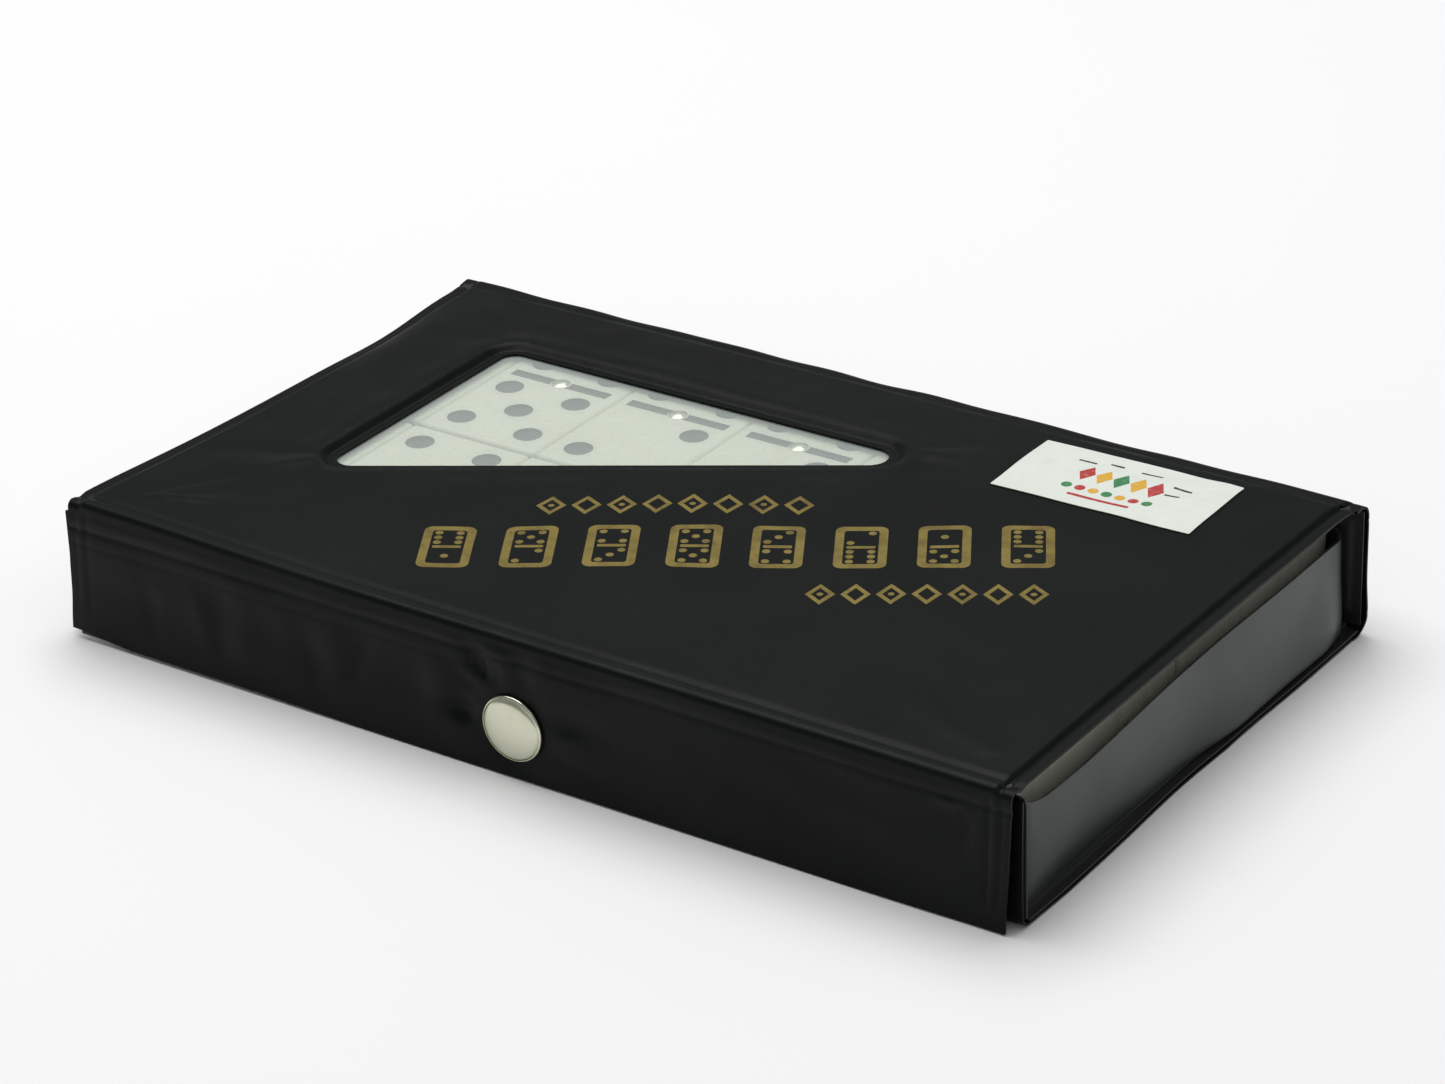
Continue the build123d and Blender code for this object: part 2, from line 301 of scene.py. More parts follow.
def thicken(name, points, faces, thickness, facing, materials, face_materials=None):
    """A closed solid from one surface: the surface, its copy a thickness behind it, and the rim between."""
    points = np.asarray(points, float)
    faces = np.asarray(faces, int)
    far = 3 if faces.shape[1] == 4 else 2
    first = points[faces[:, 2 if far == 3 else 1]] - points[faces[:, 0]]
    second = points[faces[:, far]] - points[faces[:, 1 if far == 3 else 0]]
    normals = np.cross(first, second)
    if normals.sum(0) @ np.array(facing) < 0:
        faces = faces[:, ::-1]
        normals = -normals
    at_points = np.zeros_like(points)
    for corner in range(faces.shape[1]):
        np.add.at(at_points, faces[:, corner], normals)
    at_points /= np.maximum(np.linalg.norm(at_points, axis=1), 1e-12)[:, None]
    count = len(points)
    both = np.concatenate([points, points - at_points * thickness])
    edges = {}
    for face in faces:
        for a, b in zip(face, np.roll(face, -1)):
            edges[(a, b)] = True
    rim = [(b, a, a + count, b + count) for a, b in edges if (b, a) not in edges]
    everything = [tuple(f) for f in faces] + [tuple(f[::-1] + count) for f in faces] + rim
    if face_materials is None:
        chosen = None
    else:
        chosen = list(face_materials) + [0] * (len(everything) - len(faces))
    return new_object(name, both, everything, materials, chosen)


def grid_sheet(name, xs, ts, place, thickness, facing, materials):
    """A rectangular sheet, laid out in x and t and put in space by place(x, t)."""
    x, t = np.meshgrid(xs, ts)
    points = np.stack(place(x.ravel(), t.ravel()), 1)
    index = np.arange(len(points)).reshape(len(ts), len(xs))
    faces = np.stack([index[:-1, :-1], index[:-1, 1:], index[1:, 1:], index[1:, :-1]], -1).reshape(-1, 4)
    return thicken(name, points, faces, thickness, facing, materials)


def cut_sheet(name, xs, ts, place, thickness, facing, materials,
              hole=None, guides=(), prints=(), edge=None):
    """A sheet whose mesh follows outlines: a hole, guides, and prints as (outlines, material number)."""
    x, t = (a.ravel() for a in np.meshgrid(xs, ts))
    loops = ([hole] if hole is not None else []) + list(guides) + [l for shapes, _ in prints for l in shapes]
    for loop in loops:
        low, high = loop.min(0) - 0.5, loop.max(0) + 0.5
        close = (x > low[0]) & (x < high[0]) & (t > low[1]) & (t < high[1])
        which = np.flatnonzero(close)
        far = np.ones(len(which), bool)
        for start in range(0, len(which), 4000):
            part = which[start:start + 4000]
            gap = np.hypot(x[part][:, None] - loop[:, 0], t[part][:, None] - loop[:, 1]).min(1)
            far[start:start + 4000] = gap > 0.45
        keep = np.ones(len(x), bool)
        keep[which[~far]] = False
        x, t = x[keep], t[keep]
    flat = [Vector(p) for p in zip(x, t)]
    lines = []
    for loop in loops + ([edge] if edge is not None else []):
        base = len(flat)
        flat += [Vector(p) for p in loop]
        lines += [(base + k, base + (k + 1) % len(loop)) for k in range(len(loop))]
    found, _, triangles, _, _, _ = delaunay_2d_cdt(flat, lines, [], 0, 1e-6)
    found = np.array(found)
    triangles = np.array(triangles)
    middle = found[triangles].mean(1)
    keep = np.ones(len(triangles), bool)
    if hole is not None:
        keep &= ~inside(hole, middle[:, 0], middle[:, 1])
    if edge is not None:
        keep &= inside(edge, middle[:, 0], middle[:, 1])
    triangles, middle = triangles[keep], middle[keep]
    used, inverse = np.unique(triangles, return_inverse=True)
    triangles = inverse.reshape(triangles.shape)
    found = found[used]
    numbers = np.zeros(len(triangles), int)
    for shapes, number in prints:
        odd = np.zeros(len(triangles), bool)
        for loop in shapes:
            odd ^= inside(loop, middle[:, 0], middle[:, 1])
        numbers[odd] = number
    points = np.stack(place(found[:, 0], found[:, 1]), 1)
    return thicken(name, points, triangles, thickness, facing, materials, numbers)


def lathe(name, profile, centre, axis, materials, count=72):
    """A turned piece: profile is (radius, height) along the axis from the centre."""
    axis = np.array(axis, float)
    side = np.cross(axis, (1.0, 0.0, 0.0))
    side = side / np.linalg.norm(side)
    other = np.cross(axis, side)
    points, faces = [], []
    for radius, height in profile:
        for k in range(count):
            angle = 2 * math.pi * k / count
            around = side * math.cos(angle) + other * math.sin(angle)
            points.append(np.array(centre) + axis * height + around * radius)
    for ring in range(len(profile) - 1):
        for k in range(count):
            a, b = ring * count + k, ring * count + (k + 1) % count
            faces.append((a, b, b + count, a + count))
    faces.append(tuple(range(count))[::-1])
    faces.append(tuple(range(len(points) - count, len(points))))
    return new_object(name, points, faces, materials)


# ================= materials =================

class Finish:
    """A Principled material built up from layers of procedural texture in object space."""

    def __init__(self, name, colour, roughness, metallic=0.0, specular=0.5, coat=0.0, alpha=1.0):
        self.material = bpy.data.materials.new(name)
        self.material.use_nodes = True
        self.tree = self.material.node_tree
        self.shader = self.tree.nodes["Principled BSDF"]
        self.colour = colour
        self.set("Base Color", (*colour, 1.0))
        self.set("Roughness", roughness)
        self.set("Metallic", metallic)
        self.set("Specular IOR Level", specular)
        self.set("Coat Weight", coat)
        self.set("Alpha", alpha)
        self.place = self.tree.nodes.new("ShaderNodeTexCoord").outputs["Object"]
        self.last_colour = None
        self.last_bump = None

    def set(self, socket, value):
        self.shader.inputs[socket].default_value = value
        return self

    def noise(self, scale, detail=3.0, stretch=(1, 1, 1), roughness=0.55, distortion=0.0):
        node = self.tree.nodes.new("ShaderNodeTexNoise")
        node.inputs["Scale"].default_value = scale
        node.inputs["Detail"].default_value = detail
        node.inputs["Roughness"].default_value = roughness
        node.inputs["Distortion"].default_value = distortion
        mapping = self.tree.nodes.new("ShaderNodeMapping")
        mapping.inputs["Scale"].default_value = stretch
        self.tree.links.new(self.place, mapping.inputs["Vector"])
        self.tree.links.new(mapping.outputs["Vector"], node.inputs["Vector"])
        return node.outputs["Fac"]

    def cells(self, scale):
        node = self.tree.nodes.new("ShaderNodeTexVoronoi")
        node.inputs["Scale"].default_value = scale
        self.tree.links.new(self.place, node.inputs["Vector"])
        return node.outputs["Distance"]

    def ramp(self, value, low, high, out_low=0.0, out_high=1.0):
        node = self.tree.nodes.new("ShaderNodeMapRange")
        limits = {"From Min": low, "From Max": high, "To Min": out_low, "To Max": out_high}
        for name, number in limits.items():
            node.inputs[name].default_value = number
        self.tree.links.new(value, node.inputs["Value"])
        return node.outputs["Result"]

    def tint(self, mask, colour):
        """Mix another colour in where the mask is 1."""
        node = self.tree.nodes.new("ShaderNodeMix")
        node.data_type = "RGBA"
        first, second = node.inputs[6], node.inputs[7]
        first.default_value = (*self.colour, 1.0)
        second.default_value = (*colour, 1.0)
        if self.last_colour is not None:
            self.tree.links.new(self.last_colour, first)
        self.tree.links.new(mask, node.inputs[0])
        self.last_colour = node.outputs[2]
        self.tree.links.new(self.last_colour, self.shader.inputs["Base Color"])
        return self

    def gloss(self, value, rough_low, rough_high):
        """Roughness that varies over the surface."""
        varied = self.ramp(value, 0.3, 0.7, rough_low, rough_high)
        self.tree.links.new(varied, self.shader.inputs["Roughness"])
        return self

    def relief(self, value, depth, strength=1.0):
        """Fine relief of a depth in millimetres."""
        node = self.tree.nodes.new("ShaderNodeBump")
        node.inputs["Strength"].default_value = strength
        node.inputs["Distance"].default_value = depth * MM
        self.tree.links.new(value, node.inputs["Height"])
        if self.last_bump is not None:
            self.tree.links.new(self.last_bump, node.inputs["Normal"])
        self.last_bump = node.outputs["Normal"]
        self.tree.links.new(self.last_bump, self.shader.inputs["Normal"])
        return self


def vinyl(name, colour, worn, rough, specular, grain_depth):
    """Soft calendered PVC: fine leather-like grain, faint haze and a little dust."""
    f = Finish(name, colour, rough, specular=specular)
    f.tint(f.ramp(f.noise(34, 4), 0.40, 0.72), worn)
    f.tint(f.ramp(f.noise(5200, 1), 0.74, 0.80, 0.0, 0.35), (0.10, 0.10, 0.09))
    f.gloss(f.noise(60, 4), rough - 0.06, rough + 0.07)
    f.relief(f.cells(1900), grain_depth)
    f.relief(f.noise(3300, 2), grain_depth * 0.8)
    f.relief(f.noise(130, 3), 0.05)
    return f.material


def ink(name, colour):
    """Printed ink on paper, slightly uneven."""
    f = Finish(name, colour, 0.5)
    f.tint(f.ramp(f.noise(1500, 2), 0.55, 0.75, 0.0, 0.25), (0.8, 0.8, 0.75))
    f.relief(f.noise(2500, 3), 0.006)
    return f.material


cover_vinyl = vinyl("cover_vinyl", (0.0020, 0.0036, 0.0027), (0.0042, 0.0062, 0.0050), 0.39, 0.10, 0.012)
lining_vinyl = vinyl("lining_vinyl", (0.012, 0.012, 0.013), (0.017, 0.017, 0.018), 0.5, 0.4, 0.01)
tray_vinyl = vinyl("tray_vinyl", (0.024, 0.032, 0.030), (0.034, 0.042, 0.040), 0.38, 0.45, 0.006)

finish = Finish("tile_ivory", (0.80, 0.81, 0.68), 0.27, coat=0.12)
finish.set("Subsurface Weight", 0.08).set("Subsurface Scale", 0.002)
finish.tint(finish.ramp(finish.noise(55, 4, distortion=1.2), 0.38, 0.70, 0.0, 0.7), (0.74, 0.725, 0.60))
finish.gloss(finish.noise(240, 4), 0.21, 0.36)
finish.relief(finish.noise(900, 3), 0.008)
tile_ivory = finish.material

finish = Finish("pip_paint", (0.010, 0.011, 0.013), 0.34)
finish.tint(finish.ramp(finish.noise(700, 3), 0.45, 0.75), (0.022, 0.024, 0.028))
finish.gloss(finish.noise(500, 3), 0.26, 0.46)
finish.relief(finish.noise(1600, 2), 0.02)
pip_paint = finish.material

finish = Finish("pin_metal", (0.82, 0.78, 0.66), 0.2, metallic=1.0)
finish.gloss(finish.noise(900, 4), 0.14, 0.32)
finish.relief(finish.noise(1800, 2), 0.004)
pin_metal = finish.material

finish = Finish("snap_metal", (0.62, 0.63, 0.50), 0.2, metallic=1.0)
finish.tint(finish.ramp(finish.noise(420, 4), 0.55, 0.75, 0.0, 0.5), (0.50, 0.51, 0.39))
finish.gloss(finish.noise(260, 5), 0.15, 0.27)
finish.relief(finish.noise(2600, 2, stretch=(1, 1, 7)), 0.0025)
snap_metal = finish.material

finish = Finish("window_film", (0.77, 0.85, 0.80), 0.24, specular=0.40, alpha=0.26)
finish.gloss(finish.noise(300, 3), 0.17, 0.34)
finish.relief(finish.noise(120, 3), 0.05)
finish.relief(finish.noise(1400, 2), 0.006)
window_film = finish.material

finish = Finish("label_paper", (0.76, 0.80, 0.74), 0.55)
finish.tint(finish.ramp(finish.noise(420, 4), 0.42, 0.72, 0.0, 0.6), (0.70, 0.745, 0.69))
finish.gloss(finish.noise(300, 3), 0.48, 0.62)
finish.relief(finish.noise(1700, 4), 0.01)
label_paper = finish.material

finish = Finish("foil_gold", (0.235, 0.175, 0.030), 0.46, metallic=0.35)
finish.tint(finish.ramp(finish.noise(330, 5), 0.44, 0.70), (0.150, 0.105, 0.014))
finish.tint(finish.ramp(finish.noise(1900, 2), 0.66, 0.74, 0.0, 0.7), (0.05, 0.045, 0.02))
finish.gloss(finish.noise(700, 3), 0.36, 0.56)
finish.relief(finish.cells(1900), 0.010)
foil_gold = finish.material

finish = Finish("card_board", (0.32, 0.27, 0.20), 0.85)
finish.tint(finish.ramp(finish.noise(600, 5), 0.35, 0.70), (0.24, 0.20, 0.15))
finish.relief(finish.noise(1500, 5), 0.03)
card_board = finish.material

ink_red = ink("ink_red", (0.46, 0.022, 0.018))
ink_amber = ink("ink_amber", (0.72, 0.40, 0.03))
ink_green = ink("ink_green", (0.03, 0.22, 0.07))
ink_dark = ink("ink_dark", (0.015, 0.015, 0.018))


# ================= cover shapes =================

# Where the lid's skin is strained: centre, directions, lengths, width, height, seed and number of creases.
lid_fans = [
    ((-right + 8, front + 7), (12, 62), (16, 30), 1.8, 0.40, 11, 5),
    ((window_left + 1, window_back - window_deep + 3), (192, 275), (18, 36), 3.4, 0.38, 12, 3),
    ((window_left - 1, window_back + 2), (95, 200), (16, 32), 3.2, 0.34, 13, 3),
    ((window_left + window_wide - 8, window_back), (-45, 60), (14, 34), 3.2, 0.26, 14, 3),
    ((right - 16, back - 4), (190, 240), (20, 44), 2.2, 0.26, 15, 4),
    ((right - 8, front + 8), (110, 170), (16, 40), 2.0, 0.20, 16, 4),
]


def left_sag(x, y):
    """The lid's left edge hangs a little behind its middle."""
    return 1.2 * bell(x + right, 4.5) * bell(y - 29, 15)


def lid_top(x, y):
    """Height of the lid's upper face: a soft skin over card, sunk at its welds."""
    end = right - np.abs(x)
    gap = window_gap(x, y)
    flat = smooth(end / 9) * smooth((y - front) / 9) * smooth((back - y) / 9) * smooth((gap - 1.5) / 5)
    z = top + 1.3 * bell(x + right, 40) * bell(y - front, 22) - left_sag(x, y)
    z = z - 0.4 * bell(x + right, 45) * bell(back - y, 20)
    z = z - 0.3 * smooth(1 - (back - y) / 15) - 0.15 * bell(x - right, 30) * bell(y - front, 22)
    z = z + 0.12 * (1 - (x / right) ** 2) * smooth((back - y) / 20)
    z = z + flat * (0.17 * ripple(x, y, 46, 3) + 0.055 * ripple(x, y, 15, 5))
    for strained in lid_fans:
        z = z + flat * fan(x, y, *strained)
    z = z - 0.22 * flat * bell(np.hypot(x + 26, y + 27), 2.6)
    z = z - 0.45 * (1 - smooth((end - 2.1) / 1.0)) - 0.30 * bell(end - 2.3, 0.35)
    z = z - 0.85 * (1 - smooth((gap - 1.7) / 1.3)) - 0.22 * bell(gap - 1.5, 0.35)
    z = z + 0.22 * bell(gap - 5.0, 2.2)
    z = z - 0.32 * bell(y - front - 3.0, 0.9) + 0.10 * bell(y - front - 1.5, 0.7)
    return z - 0.25 * bell(y - seam_y, 0.7)


def flap_out(x, z):
    """How far the flap's face stands out in front of its plane."""
    down = top - z
    end = right - np.abs(x)
    reach = np.hypot(x, z - snap_z)
    turn = np.arctan2(z - snap_z, x)
    free = smooth(down / 5) * smooth((reach - cap_radius - 0.5) / 4)
    low = smooth((down - 5) / 14)
    out = free * (0.22 * ripple(x, 2.2 * z, 30, 21) + 0.05 * ripple(x, 0.4 * z, 11, 22) * low)
    rng = np.random.default_rng(23)
    for k in range(9):
        middle = -right + 14 + k * 8.6 + rng.uniform(-2, 2)
        lean = rng.uniform(-0.5, 0.5)
        lift = rng.uniform(0.18, 0.42) * (1 if k % 2 else -1)
        width = rng.uniform(1.5, 3.0)
        out = out + free * lift * bell(x - middle - lean * down, width) * smooth((down - 4) / 9)
    pucker = 0.34 * np.cos(7 * turn + 0.6) + 0.22 * np.cos(11 * turn)
    out = out + pucker * bell(reach - cap_radius - 5.5, 4.2) * smooth((reach - cap_radius - 0.6) / 2.5)
    out = out + free * fan(x, z, (-4, snap_z + 5), (60, 150), (9, 16), 1.3, 0.42, 24, 4)
    out = out + free * fan(x, z, (right - 7, top - 3), (190, 262), (7, 16), 1.2, 0.55, 25, 5)
    out = out - 0.5 * free * bell(np.hypot((x - right + 12) / 1.6, z - top + 8), 3.0)
    firm = 0.35 + 0.65 * smooth((x + right - 20) / 60)
    welds = 0.20 * bell(end - 1.5, 0.3) + 0.22 * bell(end - 3.9, 0.4) - 0.10 * bell(end - 2.7, 0.6)
    out = out - firm * welds
    out = out + 0.12 * bell(down - 2.0, 0.9) - 0.19 * bell(down - 3.9, 0.5)
    out = out - 0.07 * bell(down - 6.6, 0.45) * smooth(-x / right + 0.6)
    arc = np.abs(np.mod(np.degrees(turn) + 360, 360) - 172)
    out = out + (0.55 * bell(reach - 15, 3.4) - 0.5 * bell(reach - 9.5, 3.0)) * bell(arc, 46) * free
    out = out * (1 - 0.9 * smooth((down - 18) / 5))
    clear = smooth((reach - cap_radius - 0.3) / 2.4)
    out = out + 0.55 * (1 - 0.6 * smooth((x - right + 26) / 24)) * clear * smooth((down - 13) / 10)
    return np.where(out > 0, most_out * np.tanh(out / most_out), out)


lid_run = seam_y - (front + front_fold)
fold_run = front_fold * math.pi / 2
flap_run = top - front_fold - flap_bottom


def crept_in(x, y, t, share):
    """How far the cut ends of the lid and flap have crept inwards. share runs down the flap."""
    side = np.sign(x)
    wave = 0.22 * ripple(0 * t + 3 * side, t, 46, 32)
    hollow = 1.7 * bell(y - 5, 36) * (t < lid_run)
    slant = np.where(side > 0, 0.9 + 0.8 * share, 0.6 - 1.7 * share + hollow)
    slant = slant * (1 - 0.9 * smooth((y - back + 8) / 8))
    return side * (wave + slant) * smooth(1 - (right - np.abs(x)) / 14)


def lid_and_flap(x, t):
    """The outer skin from the back seam, over the lid and down the flap. t runs forwards."""
    share = np.clip((t - lid_run - fold_run) / flap_run, 0, 1)
    corner_z = lid_top(x, np.full_like(x, front + front_fold))
    angle = np.clip((t - lid_run) / fold_run, 0, 1) * math.pi / 2
    hem = flap_bottom - 0.35 + 0.08 * ripple(x, 0 * x, 50, 31) + 0.45 * smooth(-(x + 20) / 50)
    hem = hem + 1.1 * smooth(1 - (x + right) / 13)
    y = np.where(t < lid_run, seam_y - t, front + front_fold * (1 - np.sin(angle)))
    z = np.where(t < lid_run, lid_top(x, seam_y - t), corner_z - front_fold * (1 - np.cos(angle)))
    z = z - share * (corner_z - front_fold - np.maximum(hem, 0.1))
    y = y - flap_out(x, z) * smooth(share * flap_run / 2.0)
    return x - crept_in(x, y, t, share), y, z


def spine_out(x, z):
    """How far the spine's right end reaches past the box."""
    return (0.35 + 0.35 * bell(z - 4, 4)) * smooth(x / right) * smooth(1 - (right - np.abs(x)) / 10)


def back_strip(turn):
    """Outline of a rounded back edge, from its level seam (0) to the spine's (1)."""
    flat = hinge_reach - back_fold
    arc = back_fold * math.pi / 2
    run = turn * (2 * flat + arc)
    angle = np.clip((run - flat) / back_fold, 0, math.pi / 2)
    forward = np.where(run < flat, hinge_reach - run, back_fold * (1 - np.sin(angle)))
    down = np.where(run > flat + arc, run - flat - arc, 0.0) + back_fold * (1 - np.cos(angle))
    return np.where(run < flat, forward, np.maximum(forward, 0.0)), down


def hinge_top(x, turn):
    forward, down = back_strip(turn)
    start = lid_top(x, np.full_like(x, seam_y)) - top
    settle = start * (1 - smooth(turn * 1.4)) + 0.18 * ripple(x, 6 * turn, 26, 41) * np.sin(math.pi * turn)
    wave = 0.28 * ripple(x, 0 * x, 34, 42) * np.sin(math.pi * turn)
    out = spine_out(x, top - down) * smooth(turn)
    return x + out, back - forward - np.abs(wave) * 0.3, top - down + settle


def hinge_low(x, turn):
    forward, down = back_strip(turn)
    wave = 0.05 * ripple(x, 3 * turn, 30, 43) * np.sin(math.pi * turn)
    out = spine_out(x, down) * smooth(turn)
    return x + out, back - forward - np.abs(wave), np.maximum(down, 0.0)


def spine_face(x, z):
    """The spine's outer face, sunk at both folds."""
    end = right - np.abs(x)
    puff = 0.35 * smooth((z - hinge_reach) / 3) * smooth((top - hinge_reach - z) / 3) * smooth(end / 4)
    puff = puff + 0.12 * ripple(x, z, 24, 44) * smooth(end / 6)
    folds = bell(z - hinge_reach, 0.6) + bell(top - hinge_reach - z, 0.6)
    sunk = 0.14 * np.maximum(folds, bell(end - 2.4, 0.4))
    return x + spine_out(x, z), back + puff - sunk, z


base_run = seam_y - (wall_y + bottom_fold)
base_fold_run = bottom_fold * math.pi / 2
wall_run = wall_top - bottom_fold


def rim_in(x, y, t):
    """How far the bottom's cut ends lie inside the box, negative where they reach out."""
    wave = np.abs(0.25 * ripple(np.sign(x) * 4, t, 40, 53)) + 0.6 * bell(y - 2, 24) * (x > 0)
    wave = wave - 2.4 * bell(y - wall_y, 8) * (x < 0)
    return np.sign(x) * wave * smooth(1 - (right - np.abs(x)) / 10)


def bottom_and_wall(x, t):
    """The outer skin under the tray and up behind the flap. t runs forwards, then up."""
    end = right - np.abs(x)
    angle = np.clip((t - base_run) / base_fold_run, 0, 1) * math.pi / 2
    rise = np.clip(t - base_run - base_fold_run, 0, wall_run)
    y = np.where(t < base_run, seam_y - t, wall_y + bottom_fold * (1 - np.sin(angle)))
    z = bottom_fold * (1 - np.cos(angle)) + rise
    lift = 0.16 * (1 + ripple(x, y, 30, 51)) * smooth(1 - end / 6) * (rise <= 0)
    y = y - 0.22 * np.abs(ripple(x, z, 28, 52)) * smooth(rise / 4) * smooth((np.abs(x) - 8) / 6)
    z = z - 0.6 * smooth(rise / 8) * smooth(1 - (end - 2) / 10)
    return x - rim_in(x, y, t), y, np.maximum(z + lift, 0.0)


# ================= printed decoration on the lid =================

print_angle = math.radians(30.5)
pip_grid = {
    1: [(0, 0)],
    2: [(-1, -1), (1, 1)],
    3: [(-1, -1), (0, 0), (1, 1)],
    4: [(-1, -1), (1, 1), (-1, 1), (1, -1)],
    5: [(-1, -1), (1, 1), (-1, 1), (1, -1), (0, 0)],
    6: [(-1, -1), (1, 1), (-1, 1), (1, -1), (-1, 0), (1, 0)],
}


def drawn_domino(x, width, height, stroke, low, high):
    """Outlines of a small domino drawn upright, its foot on the base line."""
    middle = height / 2
    shapes = [rounded_box(x, middle, width, height, 1.5)]
    shapes.append(rounded_box(x, middle, width - 2 * stroke, height - 2 * stroke, 0.6))
    shapes.append(rounded_box(x, middle, width - 2 * stroke - 1.0, 0.9, 0.2, 2))
    for number, side in ((low, -1), (high, 1)):
        for px, py in pip_grid[number]:
            centre = middle + side * (height / 4 - stroke / 4)
            shapes.append(circle(x + px * 1.75, centre + py * 1.72, 0.68, 12))
    return shapes


def ornament(length, height, count):
    """A row of lozenge outlines with a dot in every second one and small diamonds between."""
    pitch = length / count
    shapes = []
    for k in range(count):
        x = (k + 0.5) * pitch
        shapes.append(lozenge(x, height / 2, pitch * 0.86, height))
        shapes.append(lozenge(x, height / 2, pitch * 0.86 - 2.0, height - 2.7))
        if k % 2 == 0:
            shapes.append(circle(x, height / 2, 0.55, 10))
    return shapes


def laid(shapes, start):
    """Shapes on a base line, put on the lid along the window's long side, as outlines in x and t."""
    c, s = math.cos(print_angle), math.sin(print_angle)
    result = []
    for shape in shapes:
        x = start[0] + shape[:, 0] * c - shape[:, 1] * s
        y = start[1] + shape[:, 0] * s + shape[:, 1] * c
        result.append(divided(np.stack([x, seam_y - y], 1), 1.2))
    return result


drawn_pairs = [(1, 6), (2, 5), (3, 4), (5, 5), (4, 3), (6, 2), (5, 1), (3, 6)]
domino_pitch = 13.5
big_line = []
for number, (low, high) in enumerate(drawn_pairs):
    big_line += drawn_domino(4.3 + number * domino_pitch, 8.6, 14.8, 1.45, low, high)
foil = laid(big_line, (-27.9, -43.2))
foil += laid(ornament(47.0, 6.9, 8), (-22.9, -18.2))
foil += laid(ornament(39.5, 6.9, 7), (32.8, -21.9))


# ================= building the soft pieces =================

def unrolled(outline):
    """An outline in x and y as one in x and t."""
    return np.stack([outline[:, 0], seam_y - outline[:, 1]], 1)


cross_steps = steps(-right, right, 1.3)
lid_steps = np.concatenate([
    np.arange(0, 2.0, 0.4),
    np.linspace(2.0, lid_run - 4.0, 76),
    np.linspace(lid_run - 3.7, lid_run, 13),
    np.linspace(lid_run + fold_run / 8, lid_run + fold_run, 8),
    lid_run + fold_run + np.linspace(0.35, 7.7, 22),
    lid_run + fold_run + np.linspace(8.4, flap_run, 21),
])
cover = cut_sheet(
    "cover_lid_and_flap", cross_steps, lid_steps, lid_and_flap, skin, (0, -1, 1),
    [cover_vinyl, foil_gold],
    hole=unrolled(window_outline(0.0)),
    guides=[unrolled(window_outline(g)) for g in (0.5, 1.0, 1.5, 2.0, 2.5, 3.1)],
    prints=[(foil, 1)],
)
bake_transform(cover)
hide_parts("lid_skin", "flap_skin")

turns = np.linspace(0, 1, 19)
strip = grid_sheet("cover_back_fold", cross_steps, turns, hinge_top, skin, (0, 1, 1), [cover_vinyl])
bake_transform(strip)
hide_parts("spine_skin")

spine = grid_sheet(
    "cover_spine", cross_steps, steps(hinge_reach, top - hinge_reach, 1.4, 0.4, 1.6),
    spine_face, skin, (0, 1, 0), [cover_vinyl],
)
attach(spine, "spine")
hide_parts("spine_skin")

strip = grid_sheet("cover_bottom_fold", cross_steps, turns, hinge_low, skin, (0, 1, -1), [cover_vinyl])
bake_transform(strip)
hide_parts("spine_skin")

base_steps = np.concatenate([
    np.linspace(0, base_run, 60),
    np.linspace(base_run + base_fold_run / 7, base_run + base_fold_run, 7),
    base_run + base_fold_run + np.linspace(1.0, wall_run, 18),
])
base_cover = grid_sheet(
    "cover_bottom_and_wall", cross_steps, base_steps, bottom_and_wall, skin, (0, -1, -1), [cover_vinyl],
)
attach(base_cover, "base")
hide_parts("bottom_skin", "front_wall_skin")


# ---- linings ----

def lining_piece(name, node, body, xs, ts, place, thickness, facing, cut=None):
    if cut is None:
        made = grid_sheet(name, xs, ts, place, thickness, facing, [lining_vinyl])
    else:
        made = cut_sheet(name, xs, ts, place, thickness, facing, [lining_vinyl], hole=cut)
    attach(made, body)
    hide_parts(node)
    return made


def lid_lining_face(x, y):
    """The lid's underside, pressed towards the skin along its welded border."""
    end = np.minimum(right - np.abs(x), np.minimum(y - lining_low[1], lining_high[1] - y))
    gap = window_gap(x, y)
    slack = smooth(end / 6) * smooth((gap - 1) / 5)
    lift = 0.34 * (1 - smooth((end - 1.9) / 1.0)) + 0.10 * bell(end - 2.4, 0.4)
    lift = lift + 0.05 * slack * (1 + ripple(x, y, 26, 61))
    raised = 0.8 * bell(x + right, 40) * bell(y - front, 22) - left_sag(x, y)
    raised = raised - 0.3 * bell(x + right, 45) * bell(back - y, 20)
    return x - crept_in(x, y, seam_y - y, 0 * x), y, lid_under + lift + raised


lining_piece(
    "lining_lid", "lid_lining", "lid",
    steps(-right + 0.3, right - 0.3, 2.0), steps(lining_low[1], lining_high[1], 2.0),
    lid_lining_face, lining, (0, 0, -1), cut=window_outline(0.0),
)


def flap_lining_face(x, z):
    """The flap's inside, which follows the outer skin."""
    share = np.clip((top - front_fold - z) / flap_run, 0, 1)
    y = front - flap_out(x, z) * smooth((top - front_fold - z) / 2.0) + skin + lining
    return x - crept_in(x, y, lid_run + fold_run + share * flap_run, share), y, z


lining_piece(
    "lining_flap", "flap_lining", "flap",
    steps(-right + 1.5, right - 1.5, 1.6), np.linspace(flap_bottom + 0.25, top - 2.2, 26),
    flap_lining_face, lining - 0.01, (0, 1, 0),
)


def spine_lining_face(x, z):
    end = np.minimum(right - np.abs(x), np.minimum(z - spine_lining_low[2], spine_lining_high[2] - z))
    hollow = 0.25 * (1 - smooth((end - 1.6) / 1.0)) + 0.05 * ripple(x, z, 22, 62) * smooth(end / 5)
    return x, spine_lining_low[1] + hollow, z


lining_piece(
    "lining_spine", "spine_lining", "spine",
    steps(-right, right, 2.0), steps(spine_lining_low[2], spine_lining_high[2], 1.5, 0.4, 3.2),
    spine_lining_face, lining, (0, -1, 0),
)


